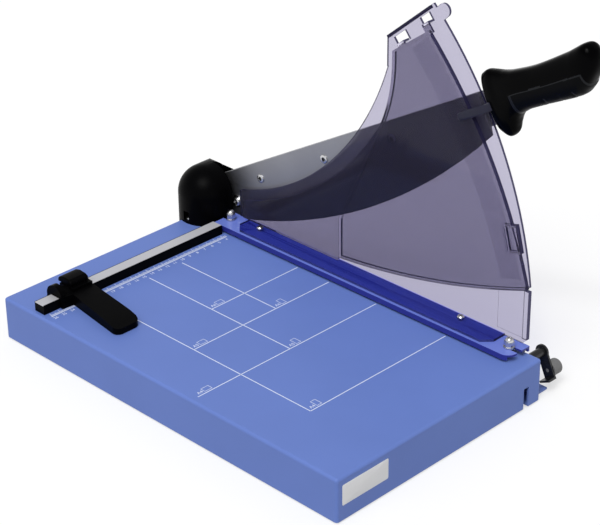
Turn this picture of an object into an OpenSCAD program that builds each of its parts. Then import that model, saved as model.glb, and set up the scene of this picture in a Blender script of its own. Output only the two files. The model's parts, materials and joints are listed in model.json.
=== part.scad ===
// Lever paper cutter: folded steel table, curved knife on a long arm, press bar with a clear
// two-layer guard, paper rail with a sliding stop, and a small latch at the front corner.
// Lengths are in millimetres. Pieces are drawn from the cutting line: X runs to the right of it,
// Y runs to the rear from the front face of the paper rail, Z runs up from the table top.
// In side outlines the first axis runs forward (against Y) and the second one runs up.

/* [Table] */
// Width of the table top, from its left edge to the right skirt
table_w = 267; // [255:1:300]
// Depth of the table, front to rear
table_d = 442; // [440:1:446]
// Height of the skirts
table_h = 43; // [40:0.5:55]
// Thickness of the folded sheet
sheet_t = 2; // [1.6:0.1:2.4]
// Radius of the folds
bend_r = 3; // [2.6:0.1:4]
// Depth of the table behind the front face of the rail
rear_d = 56; // [54:0.5:58]
// Width of the lips folded inwards under the front and rear skirts
lip_w = 22; // [20:1:30]
// Width of the flange folded outwards under the right skirt
flange_w = 18; // [12:0.5:20]
// Width of the slot in the front skirt
slot_w = 7; // [5:0.5:9]
// Height of the slot in the front skirt
slot_h = 21; // [14:0.5:26]
// Distance of the slot from the right skirt
slot_inset = 17; // [12:0.5:20]
// Radius of the rubber feet
foot_r = 8; // [6:0.5:9]
// How far the feet stand below the skirts
foot_drop = 1; // [1:0.1:4]

/* [Counter blade] */
// Thickness of the fixed blade on the right skirt
counter_t = 3; // [2.8:0.1:3.4]
// Height of the fixed blade
counter_h = 22; // [18:0.5:26]
// Number of screws in the fixed blade
counter_screw_n = 5; // [3:1:7]

/* [Pivot] */
// Distance of the pivot behind the rail face
pivot_y = 38; // [37:0.25:39]
// Height of the pivot above the table top
pivot_z = 9; // [8.5:0.25:10]
// Radius of the axle
axle_r = 6; // [5:0.25:6.5]
// Wall of the bush that runs on the axle
bush_wall = 2; // [1.5:0.25:3]
// Radial running clearance of the bush and the latch
running_gap = 0.05; // [0.02:0.01:0.1]
// Thickness of the bracket's upright
upright_t = 10; // [8:0.5:11]

/* [Arm and knife] */
// Angle of the raised arm above the table
arm_angle = 29.5; // [27:0.5:31]
// Gap between the knife and the fixed blade
blade_gap = 0.3; // [0.2:0.05:0.4]
// Thickness of the knife
blade_t = 3; // [2.5:0.1:3.2]
// Thickness of the arm behind the knife
arm_t = 6; // [5:0.25:6.25]
// Radius of the arm's hub
hub_disc_r = 26; // [25:0.5:28]
// Distance of the knife's front end from the pivot
blade_end = 402; // [396:1:404]
// Depth of the knife's belly below the pivot
belly_h = 44; // [42:0.5:46]
// Radius of the curved cutting edge
edge_r = 650; // [620:10:700]
// Width of the ground bevel
bevel_w = 9; // [5:0.5:12]
// Spacing of the screws that hold the knife
blade_screw_pitch = 102; // [98:1:104]

/* [Handle] */
// Length of the handle from its collar to its tip
handle_len = 129; // [125:1:135]
// Half the width of the grip
grip_half_w = 12.5; // [11.5:0.25:13.5]
// Height of the tang inside the handle
tang_h = 18; // [14:0.5:20]

/* [Press bar and guard] */
// Width of the press bar
bar_w = 29; // [27:0.5:30]
// Height of the top of the raised press bar
bar_top = 8; // [7.5:0.25:8.5]
// Sheet of the press bar
bar_t = 2; // [1.6:0.1:2.2]
// Room for paper under the raised press bar
bar_gap = 2.6; // [2.6:0.1:3]
// Thickness of the guard's plastic
guard_t = 2.5; // [2:0.1:2.6]
// Radius of the guard's front edge about the pivot
guard_r = 411.5; // [409:0.5:412]
// Thickness of the second layer's face and rim
cover_t = 2; // [1.5:0.1:2.2]
// How far the second layer stands in front of the first
cover_rim = 4.5; // [4:0.1:4.8]

/* [Rail and stop] */
// Width and height of the paper rail
rail_w = 14; // [13:0.25:14.5]
// Height of the paper rail
rail_h = 10; // [9.5:0.25:10.25]
// Distance of the rail's left end from the table's left edge
rail_inset = 5; // [4:0.5:8]
// Thickness of the metal strip on the rail
strip_t = 0.8; // [0.5:0.1:1.2]
// Width of the stop's finger
stop_w = 38; // [36:1:40]
// Reach of the stop's finger before the rail
stop_reach = 84; // [70:1:90]
// Distance of the stop's middle from the cutting line
stop_at = 225; // [200:1:235]
// Sliding clearance of the stop on the rail
slide_gap = 0.3; // [0.2:0.05:0.4]

/* [Hub cover] */
// Left side of the cover, from the cutting line
hub_left = 44; // [42:0.5:46]
// Right side of the cover, from the cutting line
hub_right = 22; // [22:0.5:25]
// Radius of the dome
dome_r = 29; // [29:0.5:31]
// Wall of the cover
hub_wall = 2; // [1.6:0.1:2]

/* [Latch] */
// Distance of the latch's stud from the front of the table
latch_inset = 16; // [15:0.5:17]
// Depth of the latch's stud below the table top
latch_drop = 8; // [8:0.25:9]
// Length of the latch's lever
latch_len = 27.5; // [26:0.5:29]
// Radius of the latch's knob
knob_r = 7.5; // [6:0.25:8]

/* [Hidden] */
$fn = 64;

// Clearances
fit = 0.1;
loose = 0.3;
past = 1;

// Screws, as shank radius, head radius and head height
m4 = [1.8, 4, 2];
m4_dome = [1.8, 3.5, 2.8];
m5 = [2.5, 4.6, 2.4];
m6 = [3, 5.5, 3.2];

// Table
table_right = -counter_t;
table_left = table_right - table_w;
table_front = rear_d - table_d;
table_z = foot_drop + table_h;
foot_inset = 34;
stem_r = 3;
stem_head_h = 2;
flange_setback = 6;
flange_rear = 40;

// Counter blade
counter_rear = 20;
counter_front = table_front + 22;
counter_screw_end = 14;
counter_screw_step = (counter_rear - counter_front - 2 * counter_screw_end) / (counter_screw_n - 1);
counter_screw_z = -counter_h / 2;
counter_sink = m4[2] + 2 * fit;

// Planes of the arm along X
blade_x = blade_gap;
arm_x = blade_x + blade_t;
arm_far = arm_x + arm_t;
arm_mid = (blade_x + arm_far) / 2;
bush_r = axle_r + running_gap + bush_wall;

// Joint, from the near side to the far side
upright_x = table_right - 1;
axle_head_h = 3.5;
axle_head_r = axle_r + 2;
spacer_r = 8.8;
washer_t = 1.2;
washer_r = axle_r + 6;
washer_x = arm_far + fit;
disc_t = 0.8;
disc_rise = 0.7;
disc_r = axle_r + 5;
disc_x = washer_x + washer_t;
disc_stack = 2 * (disc_t + disc_rise) + fit;
nut_x = disc_x + disc_stack;
nut_h = 5;
nut_r = 10.4;
upright_r = 13;
foot_plate_t = 4;
foot_plate_w = 13;
bracket_screw_x = upright_x - upright_t - foot_plate_w / 2;
bracket_screw_y = [pivot_y - 8, pivot_y + 9];

// Arm, knife and handle, along and across the arm from the pivot
arm_top = 29.5;
knife_heel = 14;
belly_u = 195;
edge_v = edge_r - belly_h;
collar_u = 414;
arm_end = collar_u - fit;
arm_toe = -2.5;
arm_waist = [44, -9];
tang_bottom = 10;
tang_end = collar_u + 66;
blade_screw_u = 75;
blade_screw_v = 13;
blade_screw_n = 4;
heel_screw_at = [26, -2];
heel_washer_r = 7;
heel_washer_t = 1;
handle_screw_u = collar_u * [1, 1] + handle_len * [0.17, 0.403];
handle_screw_x = arm_far + 3.6;

// Stations of the handle: share of its length, lower and upper edge as shares of its height, and share
// of the half width
grip_h = 46;
stations = [[0, -0.24, 0.97, 0.8], [0.047, -0.348, 1, 0.88], [0.1, -0.31, 0.96, 0.9],
    [0.135, -0.18, 0.925, 0.92], [0.185, -0.037, 0.88, 0.95], [0.27, 0.063, 0.84, 0.98],
    [0.47, 0.06, 0.805, 1], [0.75, 0.035, 0.845, 1.06], [0.84, 0.1, 0.875, 1.06],
    [0.925, 0.27, 0.905, 0.98], [0.97, 0.4, 0.87, 0.78], [1, 0.55, 0.74, 0.36]];
station_steps = 3;
ring_points = 24;
ring_power = 2.6;
insert_from = collar_u + 0.341 * handle_len;
insert_to = collar_u + 0.814 * handle_len;
insert_top = 7;

// Guide finger beside the guard
finger_from = 382;
finger_to = 424;
finger_v = 11;
finger_h = 8;
finger_t = 2;
finger_x = -13;
finger_bite = 2.2;

// Press bar
bar_right = table_right - 1;
bar_left = bar_right - bar_w;
bar_under = bar_top - bar_t;
bar_front = table_front + 14;
bar_rear = rail_w;
bar_corner = 10;
post_r = m6[0];
post_spots = [[bar_right - 13, 6.5], [bar_right - 14.5, table_front + 26]];
fork_w = 2 * (post_r + loose);
guide_washer_r = 5.4;
guide_washer_t = 1.4;
cap_r = 5;
cap_h = 5;
cap_dome_r = 4.2;
post_nut_h = 5;

// Springs under the press bar
spring_r = 4.6;
spring_wire = 0.5;
spring_turns = 3;
spring_rings = 12;
spring_sides = 6;
spring_rise = bar_under - 2 * spring_wire - 2 * fit;

// Guard, in side outlines
wall_x = bar_right - 1;
flange_left = bar_left + 3;
flange_from = 11;
flange_to = 344;
flange_cut = 9;
flange_z = bar_top + guard_t;
guard_heel = -5;
scoop_at = [-82.5, 319];
scoop_r = 292;
guard_shoulder = [195, 260];
guard_neck = 230;
guard_tilt = 39.6;
guard_toe = 370;
guard_toe_z = 63;
notch_h = 4;
notch_d = 5;
tab_angle = 44.3;
tab_r = 6.5;
tab_reach = guard_r + 6;
windows = [[6, 5, 17, 9.5], [46, 4, 13.5, 9]];
band_w = 35;
band_t = 0.5;
toe_rim_w = 5;
toe_rim_t = 2;
guard_screw_spots = [[bar_right - 11, -34], [bar_right - 8, -297]];

// Second layer of the guard
cover_x = wall_x - cover_rim;
sweep_r = 511;
sweep_turn = 30;
sweep_set = 14.1;
sweep_rise = 25.57;
sweep_point = [-pivot_y, pivot_z] + (guard_r - sweep_set) * [cos(sweep_rise), sin(sweep_rise)];
sweep_at = sweep_point - sweep_r * [cos(sweep_turn), sin(sweep_turn)];
belly_at = [68.8, 864.2];
belly_r = 853;
cover_heel = 138;
cover_heel_z = 57;
cover_shoulder = [205, 249];
cover_tilt = 35.7;
cover_scoop_at = [41, 238];
cover_scoop_r = 164;
cover_knee = [190.2, 170];
hook_w = 9;
hook_past = 1;
hook_h = 1.8;
hook_root = 22;
clip_at = [350, 110.5];
clip_lean = 15;
clip_size = [16, 27];
clip_proud = 1;

// Rail and stop
rail_left = table_left + rail_inset;
rail_right = bar_left - 2.5;
strip_w = rail_w - 2;
rail_screw_x = [rail_left + 20, rail_right - 20];
rail_screw_bite = 6;
stop_left = -stop_at - stop_w / 2;
stop_lift = 0.5;
saddle_y = 8;
saddle_r = 12;
saddle_z = 3;
saddle_left = stop_left + 4;
cheek_r = 11;
cheek_t = 6;
finger_root = 12;
finger_top = 9;
finger_tip = 6.5;
finger_wall = 3;
finger_taper = 8;
finger_nose = 8;
clamp_left = stop_left + 14;
clamp_w = 22;
pad_t = 1.2;
pad_w = 20;

// Hub cover
dome_x = dome_r - hub_left;
dome_y = 45;
dome_z = 27;
hub_rear = dome_y + dome_r;
hub_far_corner = 8;
arch_r = 37.5;
arch_z = 20;
hub_drop = -25;
hub_slot_gap = 1.3;
hub_slot = [blade_x - heel_washer_t - m5[2] - hub_slot_gap, arm_far + hub_slot_gap];
hub_slot_rear = 47;
hub_foot = [-hub_left + 5.5, dome_y];
hub_foot_r = 6.5;
hub_foot_t = 3;
hub_foot_h = 13;

// Latch
latch_y = table_front + latch_inset;
stud_r = 3;
barrel_r = 4.5;
latch_t = 2;
latch_x = 17;
latch_w = 12;
latch_lean = 25;
latch_tab_x = 9;
clip_t = 0.8;
knob_len = 12;
knob_u = 18.5;

// A smooth curve through four values, between the second and the third
function through(a, b, c, d, t) = b + 0.5 * t * (c - a + t * (2 * a - 5 * b + 4 * c - d
    + t * (3 * (b - c) + d - a)));
station_last = len(stations) - 1;
function station(i) = stations[max(0, min(station_last, i))];
rings = [for (i = [0:station_last - 1], k = [0:station_steps - 1])
    through(station(i - 1), station(i), station(i + 1), station(i + 2), k / station_steps)];
all_rings = concat(rings, [stations[station_last]]);

// The origin is the middle of the whole cutter's base
tip_reach = max([for (s = all_rings)
    (collar_u + s[0] * handle_len) * cos(arm_angle) - s[1] * grip_h * sin(arm_angle)]);
origin_x = (table_left + latch_x + latch_t + knob_len) / 2;
origin_y = (pivot_y - tip_reach + hub_rear) / 2;

// Places: the table, the axle, and the raised arm
module at_table() translate([-origin_x, -origin_y, table_z]) children();
module at_axle() at_table() translate([0, pivot_y, pivot_z]) children();
module at_arm() at_axle() rotate([-arm_angle, 0, 0]) children();

// A side outline made into a plate from x to x + t
module side_plate(x, t) translate([x + t, 0, 0]) rotate([90, 0, -90]) linear_extrude(t) children();

// A rod along X, from x for a length
module rod(x, length, r) translate([x, 0, 0]) rotate([0, 90, 0]) cylinder(h = length, r = r);

// A ring along X on the axle
module ring(x, t, r, bore) difference() {
    rod(x, t, r);
    rod(x - past, t + 2 * past, bore);
}

// A rectangle with round corners
module round_rect(low, high, r) {
    translate([low[0] + r, low[1]]) square([high[0] - low[0] - 2 * r, high[1] - low[1]]);
    translate([low[0], low[1] + r]) square([high[0] - low[0], high[1] - low[1] - 2 * r]);
    for (x = [low[0] + r, high[0] - r], y = [low[1] + r, high[1] - r])
        translate([x, y]) circle(r);
}

// A cross-head screw that points down, with its head's seat at zero
module screw(size, length) {
    translate([0, 0, -length]) cylinder(h = length, r = size[0]);
    difference() {
        union() {
            cylinder(h = size[2] * 0.6, r = size[1]);
            translate([0, 0, size[2] * 0.6])
                cylinder(h = size[2] * 0.4, r1 = size[1], r2 = size[1] * 0.75);
        }
        for (turn = [0, 90]) rotate(turn)
            translate([-size[0] * 0.9, -0.5, size[2] * 0.5]) cube([size[0] * 1.8, 1, size[2]]);
    }
}

// A socket screw that points down, with its head's seat at zero
module socket_screw(size, length) {
    translate([0, 0, -length]) cylinder(h = length, r = size[0]);
    difference() {
        cylinder(h = size[2], r = size[1]);
        translate([0, 0, size[2] * 0.4]) cylinder(h = size[2], r = size[0], $fn = 6);
    }
}

// Turns what points down to point to the right or to the left
module to_right() rotate([0, -90, 0]) children();
module to_left() rotate([0, 90, 0]) children();

// A hex nut from zero upwards
module nut(bore, size, height) difference() {
    cylinder(h = height, r = size, $fn = 6);
    translate([0, 0, -past]) cylinder(h = height + 2 * past, r = bore);
}

// Table

// A box with round upper edges and corners, from the table top down
module folded_box(low, high, height, r) {
    translate([0, 0, -height]) linear_extrude(height - r) round_rect(low, high, r);
    translate([low[0] + r, low[1] + r, -height])
        cube([high[0] - low[0] - 2 * r, high[1] - low[1] - 2 * r, height]);
    for (y = [low[1] + r, high[1] - r])
        translate([0, y, -r]) rod(low[0] + r, high[0] - low[0] - 2 * r, r);
    for (x = [low[0] + r, high[0] - r])
        translate([x, high[1] - r, -r]) rotate([90, 0, 0])
            cylinder(h = high[1] - low[1] - 2 * r, r = r);
    for (x = [low[0] + r, high[0] - r], y = [low[1] + r, high[1] - r])
        translate([x, y, -r]) sphere(r);
}

module at_feet() for (x = [table_left + foot_inset, table_right - foot_inset],
    y = [table_front + sheet_t + lip_w / 2, rear_d - sheet_t - lip_w / 2])
    translate([x, y, -table_h]) children();

module at_posts() for (p = post_spots) translate([p[0], p[1], 0]) children();

module at_rail_screws() for (x = rail_screw_x) translate([x, rail_w / 2, -sheet_t]) children();

module at_counter_screws() for (i = [0:counter_screw_n - 1])
    translate([0, counter_front + counter_screw_end + i * counter_screw_step, counter_screw_z])
        children();

module at_bracket_screws() for (y = bracket_screw_y) translate([bracket_screw_x, y, foot_plate_t])
    children();

module at_stud() translate([0, latch_y, -latch_drop]) children();

// A hole down through the table's sheet
module sheet_hole(r) translate([0, 0, -sheet_t - past]) cylinder(h = sheet_t + 2 * past, r = r);

module base_tray() color([0.36, 0.46, 0.76]) at_table() difference() {
    union() {
        difference() {
            folded_box([table_left, table_front], [table_right, rear_d], table_h, bend_r);
            translate([table_left + sheet_t, table_front + sheet_t, -table_h - past])
                cube([table_w - 2 * sheet_t, table_d - 2 * sheet_t, table_h + past - sheet_t]);
        }
        for (y = [table_front + sheet_t - fit, rear_d - sheet_t - lip_w])
            translate([table_left + sheet_t - fit, y, -table_h])
                cube([table_w - 2 * sheet_t + 2 * fit, lip_w + fit, sheet_t]);
        translate([table_right - sheet_t, table_front + flange_setback, -table_h])
            cube([flange_w + sheet_t, flange_rear - table_front - flange_setback, sheet_t]);
    }
    translate([table_right - slot_inset - slot_w, table_front - past, -table_h - past])
        cube([slot_w, sheet_t + lip_w + 2 * past, slot_h + past]);
    at_feet() translate([0, 0, -past]) cylinder(h = sheet_t + 2 * past, r = stem_r + fit);
    at_posts() sheet_hole(post_r + fit);
    translate([0, 0, sheet_t]) at_rail_screws() sheet_hole(m4[0] + fit);
    translate([0, 0, -foot_plate_t]) at_bracket_screws() sheet_hole(m4[0] + fit);
    translate(hub_foot) sheet_hole(m4[0] + fit);
    at_counter_screws() rod(table_right - sheet_t - past, sheet_t + 2 * past, m4[0] + fit);
    at_stud() rod(table_right - sheet_t - past, sheet_t + 2 * past, stud_r + fit);
}

module rubber_feet() color([0.06, 0.06, 0.06]) at_table() at_feet() {
    translate([0, 0, -foot_drop]) cylinder(h = foot_drop, r = foot_r);
    cylinder(h = sheet_t, r = stem_r);
    translate([0, 0, sheet_t]) cylinder(h = stem_head_h, r1 = stem_r + 1, r2 = stem_r - 1);
}

module counter_blade() color([0.7, 0.7, 0.72]) at_table() difference() {
    translate([table_right, counter_front, -counter_h])
        cube([counter_t, counter_rear - counter_front, counter_h]);
    at_counter_screws() {
        rod(table_right - past, counter_t + 2 * past, m4[0] + fit);
        rod(-counter_sink, counter_sink + past, m4[1] + fit);
    }
}

module counter_blade_screws() color([0.6, 0.6, 0.62]) at_table() at_counter_screws()
    translate([-counter_sink, 0, 0]) to_left() socket_screw(m4, counter_t - counter_sink + sheet_t + 3);

// Joint of the arm

module pivot_bracket() color([0.1, 0.1, 0.11]) at_table() difference() {
    union() {
        side_plate(upright_x - upright_t, upright_t) translate([-pivot_y, 0]) {
            translate([0, pivot_z]) circle(upright_r);
            translate([-upright_r, 0]) square([2 * upright_r, pivot_z]);
        }
        translate([upright_x - upright_t - foot_plate_w, pivot_y - upright_r, 0])
            cube([foot_plate_w + past, 2 * upright_r, foot_plate_t]);
    }
    translate([upright_x - upright_t - foot_plate_w - past, pivot_y - 2 * upright_r, -2 * upright_r])
        cube([upright_t + foot_plate_w + 2 * past, 4 * upright_r, 2 * upright_r]);
    translate([0, pivot_y, pivot_z]) {
        rod(upright_x - upright_t - past, upright_t + 2 * past, axle_r + fit);
        rod(upright_x - upright_t - past, axle_head_h + past, axle_head_r + fit);
    }
    at_bracket_screws() translate([0, 0, -foot_plate_t - past])
        cylinder(h = foot_plate_t + 2 * past, r = m4[0] + fit);
}

module bracket_screws() color([0.55, 0.55, 0.57]) at_table() at_bracket_screws()
    screw(m4, foot_plate_t + sheet_t + 3);

module axle_bolt() color([0.5, 0.5, 0.52]) at_axle() {
    rod(upright_x - upright_t, axle_head_h, axle_head_r);
    rod(upright_x - upright_t, nut_x + nut_h + 0.5 - upright_x + upright_t, axle_r);
}

module axle_spacer() color([0.62, 0.62, 0.64]) at_axle()
    ring(upright_x, arm_x - fit - upright_x, spacer_r, axle_r + fit);

module friction_washer() color([0.62, 0.62, 0.64]) at_axle()
    ring(washer_x, washer_t, washer_r, axle_r + fit);

// Two coned washers, rim to rim
module disc_springs() color([0.4, 0.4, 0.42]) at_axle() translate([disc_x, 0, 0])
    rotate([0, 90, 0]) rotate_extrude() {
        polygon([[axle_r + fit, 0], [disc_r, disc_rise], [disc_r, disc_rise + disc_t],
            [axle_r + fit, disc_t]]);
        translate([0, disc_stack]) polygon([[axle_r + fit, 0], [axle_r + fit, -disc_t],
            [disc_r, -disc_rise - disc_t], [disc_r, -disc_rise]]);
    }

module axle_nut() color([0.55, 0.55, 0.57]) at_axle() translate([nut_x, 0, 0])
    rotate([0, 90, 0]) nut(axle_r + fit, nut_r, nut_h);

// Hub cover

// The dome's left half: an upright cylinder under a quarter of a ball
module hub_dome(r, depth) translate([dome_x, dome_y, 0]) rotate([0, 0, 90]) rotate_extrude(angle = 180)
    intersection() {
        union() {
            translate([0, dome_z]) circle(r);
            translate([0, hub_drop - depth]) square([r, dome_z - hub_drop + depth]);
        }
        translate([0, hub_drop - depth]) square([2 * r, dome_z + 2 * r - hub_drop + depth]);
    }

// The right half's plan, square to the dome and with round corners over the axle's nut
module hub_plan(r, inset) {
    corner = hub_far_corner - inset;
    right = hub_right - inset;
    translate([dome_x, dome_y - r]) square([right - corner - dome_x, 2 * r]);
    translate([right - corner - past, dome_y - r + corner]) square([corner + past, 2 * r - 2 * corner]);
    for (y = [dome_y - r + corner, dome_y + r - corner]) translate([right - corner, y]) circle(corner);
}

// The right half carries the dome's outline on, and falls in an arch over the arm
module hub_shoulder(r, inset, depth) intersection() {
    translate([0, 0, hub_drop - depth]) linear_extrude(dome_z + 2 * r - hub_drop + depth) hub_plan(r, inset);
    side_plate(dome_x, hub_right - dome_x + past) {
        translate([-dome_y, dome_z]) circle(r);
        translate([-dome_y - r, hub_drop - depth]) square([2 * r, dome_z - hub_drop + depth]);
    }
    translate([0, dome_y + 2 * r, 0]) rotate([90, 0, 0]) linear_extrude(4 * r) {
        translate([dome_x, arch_z]) circle(arch_r - inset);
        translate([dome_x - arch_r, hub_drop - depth]) square([3 * arch_r, arch_z - hub_drop + depth]);
    }
}

module hub_form(inset, depth) {
    hub_dome(dome_r - inset, depth);
    hub_shoulder(dome_r - inset, inset, depth);
}

module hub_cover() color([0.05, 0.05, 0.055]) at_table() difference() {
    union() {
        difference() {
            hub_form(0, 0);
            hub_form(hub_wall, past);
        }
        intersection() {
            translate([dome_x, dome_y, 0]) cylinder(h = hub_foot_h + hub_wall, r = dome_r);
            translate(hub_foot) cylinder(h = hub_foot_h + hub_wall, r = hub_foot_r + hub_wall);
        }
    }
    translate([hub_foot[0], hub_foot[1], hub_foot_t]) cylinder(h = hub_foot_h - hub_foot_t, r = hub_foot_r);
    translate([hub_foot[0], hub_foot[1], -past]) cylinder(h = hub_foot_t + 2 * past, r = m4[0] + fit);
    // The table's corner, which the cover wraps round
    translate([-hub_left - past, 0, hub_drop - past])
        cube([hub_left + past + table_right + loose, rear_d + loose, past - hub_drop]);
    // The slot that the arm swings in
    translate([hub_slot[0], 0, hub_drop - past])
        cube([hub_slot[1] - hub_slot[0], hub_slot_rear, dome_z + dome_r - hub_drop + 2 * past]);
}

module hub_cover_screw() color([0.65, 0.65, 0.67]) at_table()
    translate([hub_foot[0], hub_foot[1], hub_foot_t]) screw(m4, hub_foot_t + sheet_t + 3);

// Rail and stop

module paper_rail() color([0.05, 0.05, 0.055]) at_table() difference() {
    translate([rail_left, 0, 0]) cube([rail_right - rail_left, rail_w, rail_h]);
    translate([rail_left - past, (rail_w - strip_w) / 2, rail_h - strip_t])
        cube([rail_right - rail_left + 2 * past, strip_w, strip_t + past]);
    at_rail_screws() cylinder(h = sheet_t + rail_screw_bite, r = m4[0] + fit);
}

module rail_strip() color([0.8, 0.8, 0.82]) at_table()
    translate([rail_left, (rail_w - strip_w) / 2, rail_h - strip_t])
        cube([rail_right - rail_left, strip_w, strip_t]);

module rail_screws() color([0.55, 0.55, 0.57]) at_table() at_rail_screws()
    mirror([0, 0, 1]) screw(m4, sheet_t + rail_screw_bite - fit);

// The saddle's arch over the rail
module saddle_outline() translate([-saddle_y, 0]) {
    translate([0, saddle_z]) circle(saddle_r);
    translate([-saddle_r, stop_lift]) square([2 * saddle_r, saddle_z - stop_lift]);
}

// The finger from above: straight on the left, tapering on the right, with a blunt round nose
module finger_plan(inset) {
    left = stop_left + inset;
    right = stop_left + stop_w - inset;
    tip = -stop_reach + inset;
    nose = finger_nose - inset;
    intersection() {
        polygon([[left, tip], [right - finger_taper, tip], [right, saddle_y], [right, 2 * saddle_r],
            [left, 2 * saddle_r]]);
        union() {
            translate([left, tip + nose]) square([stop_w, stop_reach + 2 * saddle_r]);
            translate([left + nose, tip]) square([right - finger_taper - left - 2 * nose, 2 * nose]);
            for (x = [left + nose, right - finger_taper - nose]) translate([x, tip + nose]) circle(nose);
        }
    }
}

module stop_body() color([0.06, 0.06, 0.065]) at_table() difference() {
    union() {
        // Finger with a round end, falling towards the table
        intersection() {
            side_plate(stop_left, stop_w) polygon([[-saddle_y, stop_lift], [stop_reach, stop_lift],
                [stop_reach, finger_tip], [stop_reach - 20, finger_top], [2, finger_root],
                [-saddle_y, finger_root]]);
            linear_extrude(2 * saddle_r) finger_plan(0);
        }
        side_plate(saddle_left, stop_w - 4) saddle_outline();
        // Flat seat for the clamp
        translate([clamp_left - past, saddle_y - saddle_r + 2, saddle_z])
            cube([clamp_w + 2 * past, 2 * saddle_r - 4, saddle_r]);
        // Round cheek at the left end
        side_plate(stop_left - 2, cheek_t) {
            saddle_outline();
            translate([-saddle_y, saddle_r - 2]) circle(cheek_r);
        }
    }
    translate([stop_left - 2 - past, -slide_gap, -saddle_r])
        cube([stop_w + 2 + 2 * past, rail_w + 2 * slide_gap, saddle_r + rail_h + slide_gap]);
    translate([stop_left - 2 - past, -3 * saddle_r, -2 * saddle_r])
        cube([stop_w + 2 + 2 * past, 6 * saddle_r, 2 * saddle_r + stop_lift]);
    // Hollow under the finger
    translate([0, 0, -past]) linear_extrude(past + finger_tip - 2) intersection() {
        finger_plan(finger_wall);
        translate([stop_left, -stop_reach]) square([stop_w, stop_reach - saddle_r + saddle_y - finger_wall]);
    }
    translate([-stop_at - pad_w / 2, 1, rail_h]) cube([pad_w, rail_w - 2, slide_gap + pad_t]);
}

module stop_pad() color([0.3, 0.3, 0.31]) at_table()
    translate([-stop_at - pad_w / 2 + fit, 1 + fit, rail_h + slide_gap])
        cube([pad_w - 2 * fit, rail_w - 2 - 2 * fit, pad_t]);

module stop_clamp() color([0.05, 0.05, 0.055]) at_table() side_plate(clamp_left, clamp_w)
    translate([0, saddle_z + saddle_r])
        polygon([[-22, 0], [-2, 0], [-2, 4.5], [-6, 6.4], [-14, 7], [-20, 5.5], [-22, 3.5]]);

// Press bar and guard

module bar_plan() {
    translate([bar_left + bar_corner, bar_front]) square([bar_w - bar_corner, bar_rear - bar_front]);
    translate([bar_left, bar_front + bar_corner]) square([bar_w, bar_rear - bar_front - bar_corner]);
    translate([bar_left + bar_corner, bar_front + bar_corner]) circle(bar_corner);
}

module at_guard_screws() for (p = guard_screw_spots) translate([p[0], p[1], 0]) children();

module press_bar() color([0.17, 0.2, 0.55]) at_table() difference() {
    translate([0, 0, bar_gap]) linear_extrude(bar_top - bar_gap) bar_plan();
    translate([bar_left + bar_t, bar_front - past, 0])
        cube([bar_w - 2 * bar_t, bar_rear - bar_front + 2 * past, bar_under]);
    at_posts() cylinder(h = bar_top + past, r = fork_w / 2);
    // Both ends are forked round their bolts
    translate([post_spots[0][0] - fork_w / 2, post_spots[0][1], 0]) cube([fork_w, bar_rear, bar_top + past]);
    translate([post_spots[1][0] - fork_w / 2, bar_front - past, 0])
        cube([fork_w, post_spots[1][1] - bar_front + past, bar_top + past]);
    at_guard_screws() cylinder(h = bar_top + past, r = m4[0] + fit);
}

module guide_bolts() color([0.72, 0.72, 0.74]) at_table() at_posts()
    translate([0, 0, bar_top + fit + guide_washer_t]) {
        translate([0, 0, -bar_top - guide_washer_t - sheet_t - post_nut_h - 2])
            cylinder(h = bar_top + guide_washer_t + sheet_t + post_nut_h + 2, r = post_r);
        cylinder(h = cap_h, r = cap_r, $fn = 6);
        translate([0, 0, cap_h]) intersection() {
            sphere(cap_dome_r);
            cylinder(h = 2 * cap_dome_r, r = 2 * cap_dome_r);
        }
    }

module guide_washers() color([0.75, 0.75, 0.77]) at_table() at_posts()
    translate([0, 0, bar_top + fit]) difference() {
        cylinder(h = guide_washer_t, r = guide_washer_r);
        translate([0, 0, -past]) cylinder(h = guide_washer_t + 2 * past, r = post_r + fit);
    }

module guide_nuts() color([0.55, 0.55, 0.57]) at_table() at_posts()
    translate([0, 0, -sheet_t - post_nut_h]) nut(post_r + fit, m6[1], post_nut_h);

// A wound spring as one tube: rings of points along a rising circle
spring_last = spring_turns * spring_rings;
spring_points = [for (i = [0:spring_last], k = [0:spring_sides - 1])
    let (turn = 360 * i / spring_rings, side = 360 * k / spring_sides,
        r = spring_r + spring_wire * cos(side))
    [r * cos(turn), r * sin(turn),
        fit + spring_wire + spring_rise * i / spring_last + spring_wire * sin(side)]];

// The skin of a tube of rings: two triangles for each step, and a fan on both ends
function tube_skin(count, sides) = concat(
    [for (i = [0:count - 2], k = [0:sides - 1])
        [i * sides + k, (i + 1) * sides + k, i * sides + (k + 1) % sides]],
    [for (i = [0:count - 2], k = [0:sides - 1])
        [i * sides + (k + 1) % sides, (i + 1) * sides + k, (i + 1) * sides + (k + 1) % sides]],
    [for (k = [1:sides - 2]) [0, k, k + 1]],
    [for (k = [1:sides - 2]) [0, k + 1, k] + (count - 1) * sides * [1, 1, 1]]);

// Least gap between one turn of the spring and the next, measured on its points
spring_gap = min([for (i = [0:spring_last - spring_rings], k = [0:spring_sides - 1],
    n = [0:spring_sides - 1]) norm(spring_points[i * spring_sides + k]
        - spring_points[(i + spring_rings) * spring_sides + n])]);
echo(spring_gap = spring_gap);

module press_springs() color([0.6, 0.6, 0.62]) at_table() at_posts()
    polyhedron(spring_points, tube_skin(spring_last + 1, spring_sides));

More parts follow.
